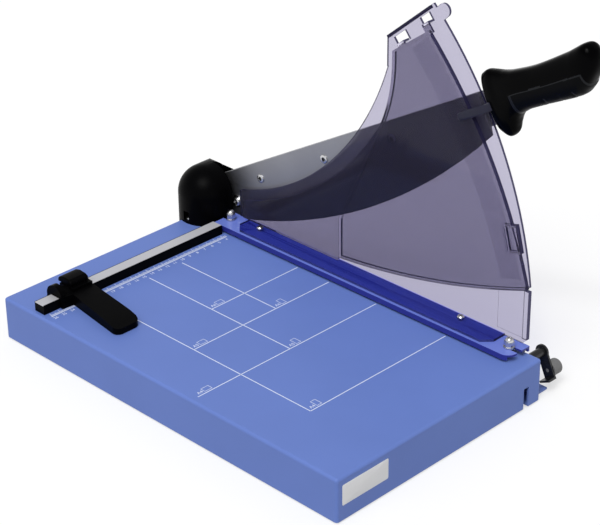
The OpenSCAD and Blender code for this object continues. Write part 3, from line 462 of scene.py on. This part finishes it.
# a copy of a node's shape with its edges rounded by a bevel
def softened(node, width, finishName, slot):
    mesh = copied(node, "Soft", finishName)
    shape = bmesh.new()
    shape.from_mesh(mesh)
    bmesh.ops.remove_doubles(shape, verts=shape.verts, dist=meshing["copyWeld"])
    bmesh.ops.dissolve_limit(shape, angle_limit=meshing["flat"], verts=shape.verts, edges=shape.edges)
    shape.to_mesh(mesh)
    shape.free()
    if node == "stop_body":
        slimFinger(mesh)
    mesh.shade_smooth()
    mesh.set_sharp_from_angle(angle=bevel["angle"])
    edge = standIn(node, mesh).modifiers.new("edge", "BEVEL")
    edge.width = width * mm
    edge.segments = bevel["segments"]
    edge.limit_method = "ANGLE"
    edge.angle_limit = bevel["angle"]
    edge.harden_normals = True


for name, edgeLook in softEdges.items():
    softened(name, *edgeLook)
print("soft edges:", len(softEdges))

# guard: faces that look across are sheet, the flange on the bar is its own, and the rest are edges
guardFinishes = {"guard_wall": ("smokePlastic", "smokeEdge", "smokeFoot"),
                 "guard_cover": ("smokePlastic", "smokeRim", "smokeEdge", "smokeSeam")}
guardFaces = {"sheet": 0.7, "flange": 0.9, "flangeUp": 12, "ahead": -0.3, "above": 0.5}
guardSeam = {"x": -5, "near": 0.03, "air": 0.1, "along": (130, 196), "up": (56, 171)}
for name, finishNames in guardFinishes.items():
    mesh = copied(name, "Clear", *finishNames)
    if name == "guard_cover":    # a hair of air between the two layers
        points = pointsOf(mesh)
        atSeam = np.abs(points[:, 0] - datum[0] - guardSeam["x"] * mm) < guardSeam["near"] * mm
        points[atSeam, 0] -= guardSeam["air"] * mm
        mesh.vertices.foreach_set("co", points.ravel())
    ways, middles = facesOf(mesh)
    along, up = (datum[1] - middles[:, 1]) / mm, (middles[:, 2] - datum[2]) / mm
    isSheet = np.abs(ways[:, 0]) > guardFaces["sheet"]
    if name == "guard_cover":    # its front and upper edges are the dark ones
        inAlong, inUp = ((guardSeam[key][0] < value) & (value < guardSeam[key][1])
                         for key, value in (("along", along), ("up", up)))
        isDark = (ways[:, 1] < guardFaces["ahead"]) | (ways[:, 2] > guardFaces["above"])
        choices = {"smokePlastic": isSheet, "smokeSeam": inAlong & inUp, "smokeEdge": isDark}
        wearFaces(mesh, choices, "smokeRim")
    else:
        isFlange = (np.abs(ways[:, 2]) > guardFaces["flange"]) & (up < guardFaces["flangeUp"])
        wearFaces(mesh, {"smokeFoot": isFlange, "smokePlastic": isSheet}, "smokeEdge")
    standIn(name, mesh)
print("guard sheets:", len(guardFinishes))

# the second layer's tail towards the hub: a strip from the scoop's arc to the layer's rear edge
coverTail = {"x": (-9.5, -7.5), "z": (11, 169), "rear": 4, "scoop": (-82.5, 319), "scoopReach": 292,
             "inset": (8, 18.7), "frontAlong": (138, 190.2), "frontUp": (57, 170), "air": 0.3, "least": 0.2,
             "rows": 80}
tailUp = np.linspace(*coverTail["z"], coverTail["rows"])
tailReach = coverTail["scoopReach"] + np.interp(tailUp, coverTail["z"], coverTail["inset"])
tailArc = np.sqrt(np.maximum(0, tailReach ** 2 - (coverTail["scoop"][1] - tailUp) ** 2))
tailRear = np.maximum(coverTail["rear"], coverTail["scoop"][0] + tailArc)
tailFront = np.interp(tailUp, coverTail["frontUp"], coverTail["frontAlong"]) - coverTail["air"]
tailFront = np.maximum(tailFront, tailRear + coverTail["least"])
tailForm = stripForm(coverTail["x"], np.stack([tailRear, tailUp], -1), np.stack([tailFront, tailUp], -1))
tail = addPiece("coverTail", tailForm, nodes["guard_cover"]["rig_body"],
                ["smokePlastic", "smokeRim", "smokeSeam"], sharp=30)
tailWays = facesOf(tail.data)[0]
tailSheet, tailAhead = np.abs(tailWays[:, 0]) > guardFaces["sheet"], tailWays[:, 1] < guardFaces["ahead"]
wearFaces(tail.data, {"smokePlastic": tailSheet, "smokeSeam": tailAhead}, "smokeRim")

# a faint raised band inside the second layer's front edge: an arc strip about the sweep's middle
coverStep = {"about": (-122, -75), "reach": (483.5, 507), "turn": np.radians((17.2, 43.4)),
             "x": (-9.9, -9.6), "rows": 90}
stepTurn = np.linspace(*coverStep["turn"], coverStep["rows"])
stepWay = np.stack([np.cos(stepTurn), np.sin(stepTurn)], -1)
stepForm = stripForm(coverStep["x"], *(coverStep["about"] + reach * stepWay for reach in coverStep["reach"]))
addPiece("coverStep", stepForm, nodes["guard_cover"]["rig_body"], ["smokeStep"], sharp=30)

# thick lip along the guard's upper edge: an oval bar on the slope of that edge, sunk by a share of its height
guardLip = {"from": (195, 260), "slope": np.radians(39.6), "length": (0.5, 65), "x": -4.6, "deep": 2.1,
            "tall": 1.5, "sunk": 0.97, "power": 5, "around": 32}
lipReach, lipRise = ovalSweep(guardLip["around"], guardLip["power"])
lipUp = guardLip["tall"] * (lipRise - guardLip["sunk"])
lipRun = np.array(guardLip["length"])[:, None]
lipCosine, lipSine = np.cos(guardLip["slope"]), np.sin(guardLip["slope"])
lipAlong = guardLip["from"][0] + lipRun * lipCosine - lipUp * lipSine
lipHigh = guardLip["from"][1] + lipRun * lipSine + lipUp * lipCosine
lipPoints = np.stack(np.broadcast_arrays(guardLip["x"] + guardLip["deep"] * lipReach, -lipAlong, lipHigh), -1)
lipForm = (fromBench(lipPoints.reshape(-1, 3)), tubeFaces(len(lipRun), guardLip["around"]))
addPiece("guardLip", lipForm, nodes["guard_wall"]["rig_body"], ["smokeEdge"])
print("guard trim: tail, step and lip")

# heel screw with a slightly smaller washer, clear of the fixed blade when the arm is down
heelScrew = {"along": 26, "above": -2, "washer": 7, "drawn": 6.6, "rimFrom": 0.9}
heelMesh = copied("heel_screw", "Trim", "screwSteel")
heelPoints = pointsOf(heelMesh)
heelAxis = fromArm(0, heelScrew["along"], heelScrew["above"])[0, 1:]
heelSpokes = heelPoints[:, 1:] - heelAxis
atRim = np.linalg.norm(heelSpokes, axis=1) / mm > heelScrew["rimFrom"] * heelScrew["washer"]
heelDrawn = heelAxis + heelSpokes * heelScrew["drawn"] / heelScrew["washer"]
heelPoints[:, 1:] = np.where(atRim[:, None], heelDrawn, heelPoints[:, 1:])
heelMesh.vertices.foreach_set("co", heelPoints.ravel())
standIn("heel_screw", heelMesh)

# blade screws: a profile of radius and height turned about each screw's own line, with painted shade inside
# the socket
bladeScrews = {"from": 75, "pitch": 102, "count": 4, "above": 13, "head": 1.2, "socket": 2.3, "around": 40,
               "profile": [(0, 0.2), (1.9, 0.25), (2.2, 1.2), (3.7, 1.2), (4.35, 0.9), (4.6, 0.4), (4.6, 0),
                           (2.4, 0), (2.4, -8.8), (0, -8.8)]}
screwFace = (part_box("blade_screws")[0].x - datum[0]) / mm + bladeScrews["head"]
screwRadius, screwHeight = np.hsplit(np.array(bladeScrews["profile"]), 2)
screwTurn = np.linspace(0, 2 * np.pi, bladeScrews["around"], endpoint=False)
screwSide, screwUp = screwRadius * np.cos(screwTurn), bladeScrews["above"] + screwRadius * np.sin(screwTurn)
screwPlaces = bladeScrews["from"] + bladeScrews["pitch"] * np.arange(bladeScrews["count"])
screwSkin = tubeFaces(len(screwRadius), bladeScrews["around"], capped=False)
screwForm = joined([(fromArm(screwFace - screwHeight, place + screwSide, screwUp), screwSkin)
                    for place in screwPlaces])
screws = addPiece("bladeScrewHeads", screwForm, nodes["blade_screws"]["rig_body"],
                  ["screwSteel", "blackMetalAndSocketShade"], ["blade_screws"], sharp=35)
screwAxes = fromArm(0, screwPlaces, bladeScrews["above"])[:, 1:]
screwMiddles = facesOf(screws.data)[1]
screwOff = np.linalg.norm(screwMiddles[:, None, 1:] - screwAxes, axis=-1).min(1)
outside = screwMiddles[:, 0] < fromBench((screwFace, 0, 0))[0]
# the socket's faces take the black finish as painted shade in the recess
wearFaces(screws.data, {"blackMetalAndSocketShade": (screwOff < bladeScrews["socket"] * mm) & outside}, "screwSteel")

# the bar's springs: a copy of their mesh in steel, with a mesh of its own, standing in for the node
springMesh = copied("press_springs", "Wound", "screwSteel")
springPoints = pointsOf(springMesh)
springPiece = standIn("press_springs", springMesh)
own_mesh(springPiece)
print("screws and springs: heel screw, blade screws and press springs")

# print on the table: lines and pages as thin bars of ink, and a format's name beside each page
tableInk = {
    "lift": 0.03, "thick": 0.05, "line": 0.9,
    "lines": [(-105, -16, -105, -148), (-148, -16, -148, -210), (-210, -16, -210, -297),
              (-148, -105, -33, -105), (-210, -148, -33, -148), (-262, -210, -33, -210),
              (-210, -297, -33, -297)],
    "marks": [("A6", -146, -104, 0), ("A6", -103, -147, 1), ("A5", -208, -147, 0),
              ("A5", -146, -209, 1), ("A4", -260, -209, 0), ("A4", -208, -296, 1)],
    "markSize": 5.2, "markAt": (4.2, 1.4), "curve": 3,
    "page": (8.5, 5.6), "pageLine": 0.45, "pageAt": (8.5, 1.2),
}
ruler = {"from": -36, "to": -262, "baseline": -7.0, "line": 1.0, "fine": 3.0, "half": 4.0, "whole": 5.8,
         "tick": 0.5, "centimetre": 10, "numbers": range(4, 27), "number": 5.0, "numberAt": -12.7}


# boxes along lines (x0, y0, x1, y1) of the given width, all at once
def inkBars(lines, width):
    start, end = np.hsplit(np.asarray(lines, float), 2)
    along = (end - start) / np.linalg.norm(end - start, axis=1, keepdims=True)
    side = np.stack([-along[:, 1], along[:, 0]], -1) * (width / 2)
    ring = np.stack([start - side, end - side, end + side, start + side], 1)
    low = np.full((*ring.shape[:2], 1), tableInk["lift"])
    layers = [np.concatenate([ring, level], -1) for level in (low, low + tableInk["thick"])]
    box = np.array([(3, 2, 1, 0), (4, 5, 6, 7), (0, 1, 5, 4), (1, 2, 6, 5), (2, 3, 7, 6), (3, 0, 4, 7)])
    faces = box[None] + (box.max() + 1) * np.arange(len(ring))[:, None, None]
    return np.concatenate(layers, 1).reshape(-1, 3), faces.reshape(-1, 4).tolist()


# a word as a flat solid of ink, its middle at a place on the table
def wordForm(text, size, x, y):
    curve = bpy.data.curves.new("word", "FONT")
    curve.body = text
    curve.size = size
    curve.align_x = "CENTER"
    curve.extrude = tableInk["thick"] / 2
    curve.resolution_u = tableInk["curve"]
    holder = bpy.data.objects.new("word", curve)
    scene.collection.objects.link(holder)
    mesh = bpy.data.meshes.new_from_object(holder.evaluated_get(bpy.context.evaluated_depsgraph_get()))
    points = pointsOf(mesh) + [x, y, tableInk["lift"] + tableInk["thick"] / 2]
    faces = [list(face.vertices) for face in mesh.polygons]
    bpy.data.objects.remove(holder)
    bpy.data.curves.remove(curve)
    bpy.data.meshes.remove(mesh)
    return points, faces


places = np.arange(ruler["from"], ruler["to"], -1.0)
past = np.round(-places) % ruler["centimetre"]
tall = np.select([past == 0, past == ruler["centimetre"] / 2], [ruler["whole"], ruler["half"]], ruler["fine"])
base = np.full(len(places), ruler["baseline"])
ticks = np.stack([places, base, places, base + tall], -1)
pages, words = [], []
for word, x, y, upright in tableInk["marks"]:
    wide, high = tableInk["page"][::-1] if upright else tableInk["page"]
    left, low = x + tableInk["pageAt"][0], y + tableInk["pageAt"][1]
    right, top = left + wide, low + high
    pages += [(left, low, right, low), (right, low, right, top),
              (right, top, left, top), (left, top, left, low)]
    words.append(wordForm(word, tableInk["markSize"], x + tableInk["markAt"][0], y + tableInk["markAt"][1]))
for number in ruler["numbers"]:
    words.append(wordForm(str(number), ruler["number"], -ruler["centimetre"] * number, ruler["numberAt"]))
baseline = [(ruler["from"], ruler["baseline"], ruler["to"], ruler["baseline"])]
inkForm = joined([inkBars(tableInk["lines"], tableInk["line"]), inkBars(pages, tableInk["pageLine"]),
                  inkBars(ticks, ruler["tick"]), inkBars(baseline, ruler["line"]), *words])
addPiece("tablePrint", (fromBench(inkForm[0]), inkForm[1]), "base", ["printInk"], weld=False)
print("table print:", len(inkForm[1]), "faces")

# blank label on the front skirt: its rim rises by (inset, height), as shares of its thickness
blankLabel = {"x": (-263.5, -207.5), "z": (-28.4, -8.0), "corner": 1.5, "thick": 0.15, "air": 0.02,
              "steps": 8, "rim": [(0, 0), (0, 0.6), (0.25, 0.9), (0.7, 1)]}


# rings of a rounded rectangle drawn in from its edge, as a shallow pillow
def pillowPlate(low, high, corner, thick, rim, steps):
    centre, half = (np.array(high) + low) / 2, (np.array(high) - low) / 2
    turns = np.arange(4)[:, None] * np.pi / 2 + np.linspace(0, np.pi / 2, steps)
    spokes = np.stack([np.cos(turns), np.sin(turns)], -1)
    corners = centre + np.array([(1, 1), (-1, 1), (-1, -1), (1, -1)])[:, None] * (half - corner)
    rings = []
    for inset, height in np.array(rim) * thick:
        edge = (corners + (corner - inset) * spokes).reshape(-1, 2)
        rings.append(np.concatenate([edge, np.full((len(edge), 1), height)], -1))
    count, last = turns.size, (len(rings) - 1) * turns.size
    points = np.concatenate(rings + [[[*centre, thick]]])
    faces = tubeFaces(len(rings), count, capped=False)
    faces += [[last + k, last + (k + 1) % count, len(points) - 1] for k in range(count)]
    return points, faces + [list(range(count))[::-1]]


labelPoints, labelFaces = pillowPlate(*zip(blankLabel["x"], blankLabel["z"]), blankLabel["corner"],
                                      blankLabel["thick"], blankLabel["rim"], blankLabel["steps"])
labelX, labelZ, labelOut = labelPoints.T
labelPoints = fromBench(np.stack([labelX, bench["front"] - blankLabel["air"] - labelOut, labelZ], -1))
addPiece("frontLabel", (labelPoints, labelFaces), "base", ["labelFilm"])
print("label:", len(labelFaces), "faces")

# lofted handle: stations are (share of the length, lower and upper edge as shares of the height, width)
handleForm = {
    "start": 414, "length": 129, "height": 46, "middle": 4.8, "half": 12.5, "power": 2.6, "rings": 200,
    "around": 256,
    "stations": [(0, -0.24, 0.97, 0.8), (0.047, -0.348, 1, 0.88), (0.1, -0.31, 0.96, 0.9),
                 (0.135, -0.18, 0.925, 0.92), (0.185, -0.037, 0.88, 0.95), (0.27, 0.063, 0.84, 0.98),
                 (0.47, 0.06, 0.805, 1), (0.75, 0.035, 0.845, 1.06), (0.84, 0.1, 0.875, 1.06),
                 (0.925, 0.27, 0.905, 0.98), (0.97, 0.4, 0.87, 0.78), (1, 0.55, 0.74, 0.36)],
}
# grip panel below a brink line, proud of the handle, with waves sunk into it: places are shares of the length
gripPanel = {"proud": 0.8, "from": 0.22, "fromSoft": (-0.02, 0.03), "to": 0.87, "toSoft": (0.015, -0.005),
             "brink": (20, 18.5), "brinkSoft": (0.9, -0.9), "ribs": (0.47, 0.60, 0.73), "ribDeep": 0.7,
             "ribWide": 0.007, "ribBow": 0.022, "ribBelow": (-0.55, -0.75), "isPanel": 0.9, "isEdge": 0.1,
             "isRib": 0.5}
# pockets over the screws on the far side
screwPockets = {"along": (435.93, 465.99), "up": 19.0, "radius": 5.8, "soft": (0.5, -0.4), "floor": 12.7}

share, low, high, wide = np.hsplit(throughRows(handleForm["stations"], handleForm["rings"]), 4)
low, high = low * handleForm["height"], high * handleForm["height"]
reach, rise = ovalSweep(handleForm["around"], handleForm["power"])
middle, tall = (low + high) / 2, (high - low) / 2
brink = np.interp(share, (gripPanel["from"], gripPanel["to"]), gripPanel["brink"])
panel = (ease(*gripPanel["brinkSoft"], middle + tall * rise - brink)
         * ease(*(gripPanel["from"] + np.array(gripPanel["fromSoft"])), share)
         * ease(*(gripPanel["to"] + np.array(gripPanel["toSoft"])), share))
ribs = sum(np.exp(-((share - at - gripPanel["ribBow"] * np.abs(reach)) / gripPanel["ribWide"]) ** 2)
           for at in gripPanel["ribs"]) * ease(*gripPanel["ribBelow"], rise)
swell = 1 + (gripPanel["proud"] - gripPanel["ribDeep"] * ribs) * panel / handleForm["half"]
handleX = handleForm["middle"] + wide * handleForm["half"] * reach * swell
handleV = middle + tall * rise * swell
handleU = handleForm["start"] + share * handleForm["length"]
for along in screwPockets["along"]:
    off = np.hypot(handleU - along, handleV - screwPockets["up"])
    pocket = ease(*(screwPockets["radius"] + np.array(screwPockets["soft"])), off) * (reach > 0)
    handleX = handleX - np.maximum(handleX - screwPockets["floor"], 0) * pocket
handleFaces = tubeFaces(handleForm["rings"], handleForm["around"])
handleGrip = addPiece("handleGrip", (fromArm(handleX, handleU, handleV), handleFaces), "blade_arm",
                      ["handlePlastic", "gripPlastic", "gripEdgeHighlight"],
                      ["handle", "grip_insert"], sharp=50)
# the panel's rim and ribs wear the lighter finish: a painted highlight where their steps catch light
onPanel = (panel > gripPanel["isPanel"]) & (ribs <= gripPanel["isRib"])
onPanel, gripHighlight = (np.append(grid[:-1], [False, False])    # one a face, and none on the caps
                   for grid in (onPanel, panel > gripPanel["isEdge"]))
wearFaces(handleGrip.data, {"gripPlastic": onPanel, "gripEdgeHighlight": gripHighlight}, "handlePlastic")
print("handle:", len(handleFaces), "faces")

# guide finger: an oval strip of half heights carried along a path (along, across) that bends into the collar
finger = {"path": [(382, -12, 2.6), (384, -12, 3.2), (392, -12, 3.8), (402, -11.9, 4), (408, -11.2, 4),
                   (412, -9.4, 4), (415, -6.8, 4), (417, -3.6, 4)],
          "middle": 15, "half": 1, "power": 4, "rings": 60, "around": 32}
fingerAlong, fingerAcross, fingerTall = np.hsplit(throughRows(finger["path"], finger["rings"]), 3)
alongRun, acrossRun = np.gradient(fingerAlong, axis=0), np.gradient(fingerAcross, axis=0)
fingerReach, fingerRise = ovalSweep(finger["around"], finger["power"])
fingerOut = finger["half"] * fingerReach / np.hypot(alongRun, acrossRun)
fingerPoints = fromArm(fingerAcross + fingerOut * alongRun, fingerAlong - fingerOut * acrossRun,
                       finger["middle"] + fingerTall * fingerRise)
fingerFaces = tubeFaces(finger["rings"], finger["around"])
addPiece("fingerStrip", (fingerPoints, fingerFaces), "blade_arm", ["fingerPlastic"],
         ["guide_finger"], sharp=50)
print("finger:", len(fingerFaces), "faces")

# stage: a pale floor that glows only to be seen, a white surround and soft light from the upper left
studio = {"floor": 6.0, "floorDrop": 0.5, "floorTone": 0.45, "floorGlow": 0.55, "floorRough": 0.9,
          "floorSpec": 0.1, "sky": 0.46, "skyFrom": (0.12, 0.45), "fill": 0.47,
          "sunFrom": (-0.50, -0.24, 0.83),
          "suns": {"keyLight": (1.72, 40), "sparkLight": (0.45, 7)}}    # strength, and width in degrees
floorMesh = bpy.data.meshes.new("floor")
floorCorners = studio["floor"] * np.array([(-1, -1, 0), (1, -1, 0), (1, 1, 0), (-1, 1, 0)])
floorMesh.from_pydata(floorCorners.tolist(), [], [(0, 1, 2, 3)])
floor = bpy.data.objects.new("floor", floorMesh)
floor.location.z = -studio["floorDrop"] * mm
scene.collection.objects.link(floor)
floorLook = bpy.data.materials.new("floorLook")
floorLook.use_nodes = True
floorTree = floorLook.node_tree
floorShader = floorTree.nodes["Principled BSDF"]
floorShader.inputs["Base Color"].default_value = (*[studio["floorTone"]] * 3, 1)
floorShader.inputs["Roughness"].default_value = studio["floorRough"]
floorShader.inputs["Specular IOR Level"].default_value = studio["floorSpec"]
floorShader.inputs["Emission Color"].default_value = (1, 1, 1, 1)
floorMesh.materials.append(floorLook)
floorPath, seenOrGlossed, seen, glow = newNodes(floorTree, "LightPath", "Math", "Math", "Math")
seenOrGlossed.operation = "ADD"
seen.operation = "ADD"
glow.operation = "MULTIPLY"
glow.inputs[1].default_value = studio["floorGlow"]
linkAll(floorTree, [
    (floorPath.outputs["Is Camera Ray"], seenOrGlossed.inputs[0]),
    (floorPath.outputs["Is Glossy Ray"], seenOrGlossed.inputs[1]),
    (seenOrGlossed.outputs[0], seen.inputs[0]),
    (floorPath.outputs["Is Transmission Ray"], seen.inputs[1]),
    (seen.outputs[0], glow.inputs[0]),
    (glow.outputs[0], floorShader.inputs["Emission Strength"]),
])

# surround: white to the eye and through glass, dimmer overhead in gloss, and an even fill otherwise
world = bpy.data.worlds.new("studio")
scene.world = world
world.use_nodes = True
sky = world.node_tree
sky.nodes.clear()
skyPath, skyWhere, skyParts, overhead = newNodes(sky, "LightPath", "TexCoord", "SeparateXYZ", "MapRange")
glossed, direct, brightest, strength = newNodes(sky, "Math", "Math", "Math", "Math")
surround, worldOut = newNodes(sky, "Background", "OutputWorld")
glossed.operation = "MULTIPLY"
for step in (direct, brightest, strength):
    step.operation = "MAXIMUM"
overhead.inputs["From Min"].default_value, overhead.inputs["From Max"].default_value = studio["skyFrom"]
overhead.inputs["To Min"].default_value, overhead.inputs["To Max"].default_value = 1, studio["sky"]
strength.inputs[1].default_value = studio["fill"]
surround.inputs["Color"].default_value = (1, 1, 1, 1)
linkAll(sky, [
    (skyWhere.outputs["Generated"], skyParts.inputs[0]),
    (skyParts.outputs["Z"], overhead.inputs["Value"]),
    (overhead.outputs["Result"], glossed.inputs[0]),
    (skyPath.outputs["Is Glossy Ray"], glossed.inputs[1]),
    (skyPath.outputs["Is Camera Ray"], direct.inputs[0]),
    (skyPath.outputs["Is Transmission Ray"], direct.inputs[1]),
    (glossed.outputs[0], brightest.inputs[0]),
    (direct.outputs[0], brightest.inputs[1]),
    (brightest.outputs[0], strength.inputs[0]),
    (strength.outputs[0], surround.inputs["Strength"]),
    (surround.outputs[0], worldOut.inputs["Surface"]),
])


# axes of a lamp or camera: Z points back, X is level and then rolled about Z, and Y is square to both
def lookAxes(back, roll=0):
    back = np.array(back) / np.linalg.norm(back)
    level = np.cross((0, 0, 1), back)
    level /= np.linalg.norm(level)
    side = level * np.cos(roll) + np.cross(back, level) * np.sin(roll)
    return np.stack([side, np.cross(back, side), back], 1)


for name, (power, width) in studio["suns"].items():
    sun = bpy.data.lights.new(name, "SUN")
    sun.energy = power
    sun.angle = np.radians(width)
    sunObject = bpy.data.objects.new(name, sun)
    sunObject.rotation_mode = "QUATERNION"
    sunObject.rotation_quaternion = Matrix(lookAxes(studio["sunFrom"]).tolist()).to_quaternion()
    scene.collection.objects.link(sunObject)
scene.view_settings.view_transform = "Standard"

# camera at the photograph's place: focal and frame in pixels, sensor and place in millimetres
lens = {"focal": 1937.0853, "frame": 600, "sensor": 36, "clip": (0.05, 50),
        "at": (-1212.10, -1291.435, 904.82),
        "back": (-0.62181, -0.623772, 0.473562), "roll": np.radians(-0.64799)}
camera = bpy.data.cameras.new("photoView")
camera.sensor_width = lens["sensor"]
camera.lens = lens["focal"] / lens["frame"] * lens["sensor"]
camera.clip_start, camera.clip_end = lens["clip"]
cameraObject = bpy.data.objects.new("photoView", camera)
scene.collection.objects.link(cameraObject)
pose = np.eye(4)
pose[:3, :3] = lookAxes(lens["back"], lens["roll"])
pose[:3, 3] = fromBench(lens["at"])
cameraObject.matrix_world = Matrix(pose.tolist())
scene.camera = cameraObject
print("stage and camera set")

bpy.context.view_layer.update()
